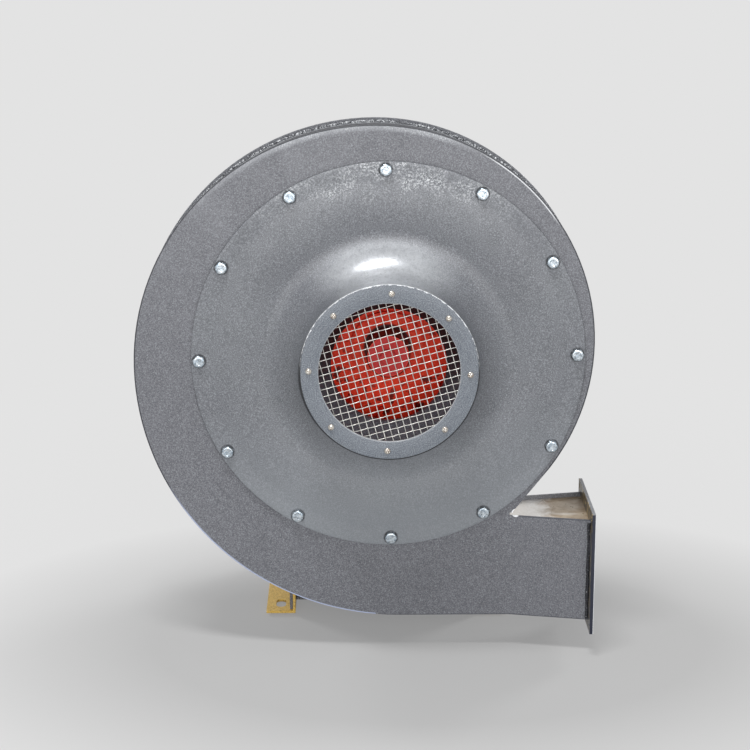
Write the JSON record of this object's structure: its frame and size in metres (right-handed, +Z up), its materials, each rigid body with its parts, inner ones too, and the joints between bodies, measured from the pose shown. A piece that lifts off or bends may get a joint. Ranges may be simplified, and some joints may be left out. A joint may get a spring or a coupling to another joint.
{
  "type": "high-pressure centrifugal blower",
  "caption": "Grey sheet-metal volute blower with a red impeller behind a mesh intake, square outlet flange low on the right, direct-drive motor on a stand.",
  "frame": {"origin": "on the shaft axis, in the front face of the intake ring", "axes": "+X the way the air leaves the outlet, +Y along the shaft from the intake to the motor, +Z up"},
  "size_m": [0.5272, 0.4383, 0.6159],
  "materials": {
    "housing_paint": "satin grey paint with a fine orange peel",
    "ring_paint": "satin blue-grey paint, chipped at the rim",
    "wheel_paint": "satin orange-red paint",
    "zinc": "bright zinc plating",
    "yellow_zinc": "mottled yellow zinc plating",
    "bare_steel": "machined bare steel",
    "motor_aluminium": "cast aluminium under grey paint",
    "copper": "varnished copper wire",
    "rubber": "matt black rubber",
    "plastic": "matt black plastic",
    "felt": "grey felt"
  },
  "bodies": {
    "casing": {"front_side_plate": "housing_paint", "rear_side_plate": "housing_paint", "scroll_wrapper": "housing_paint", "outlet_flange": "housing_paint", "intake_cover": "housing_paint", "cover_gasket": "rubber", "cover_bolts": "zinc", "cover_weld_nuts": "bare_steel", "intake_ring": "ring_paint", "intake_mesh": "zinc", "intake_cone": "housing_paint", "ring_screws": "zinc", "ring_nuts": "zinc", "motor_mount_ring": "housing_paint", "shaft_seal": "felt", "seal_plate": "bare_steel", "flange_bolts": "zinc", "bearing_outer_rings": "bare_steel", "wave_spring": "zinc", "motor_frame": "motor_aluminium", "drive_end_shield": "motor_aluminium", "rear_end_shield": "motor_aluminium", "shield_bolts": "zinc", "stator_core": "bare_steel", "stator_windings": "copper", "fan_cowl": "housing_paint", "cowl_screws": "zinc", "terminal_box": "motor_aluminium", "box_gasket": "rubber", "terminal_lid": "motor_aluminium", "lid_screws": "zinc", "terminal_board": "plastic", "cable_gland": "plastic", "lifting_eye": "zinc", "stand_motor_plate": "housing_paint", "stand_left_cheek": "housing_paint", "stand_right_cheek": "housing_paint", "stand_front_panel": "housing_paint", "stand_rear_panel": "housing_paint", "left_foot_rail": "yellow_zinc", "right_foot_rail": "yellow_zinc", "stand_bolts": "zinc", "stand_nuts": "zinc", "motor_foot_bolts": "zinc", "motor_foot_nuts": "zinc"},
    "rotor": {"wheel_back_disc": "wheel_paint", "wheel_shroud": "wheel_paint", "wheel_blades": "wheel_paint", "wheel_hub": "wheel_paint", "hub_rivets": "wheel_paint", "hub_cap": "wheel_paint", "hub_cap_bolt": "wheel_paint", "shaft_key": "bare_steel", "motor_shaft": "bare_steel", "rotor_core": "bare_steel", "bearing_inner_rings": "bare_steel", "bearing_balls": "zinc", "cooling_fan": "plastic", "fan_circlip": "zinc"}
  },
  "joints": [
    {"name": "impeller_spin", "type": "hinge", "parent": "casing", "child": "rotor", "pos_m": [0, 0.1096, 0], "axis": [0, -1, 0], "continuous": true}
  ]
}
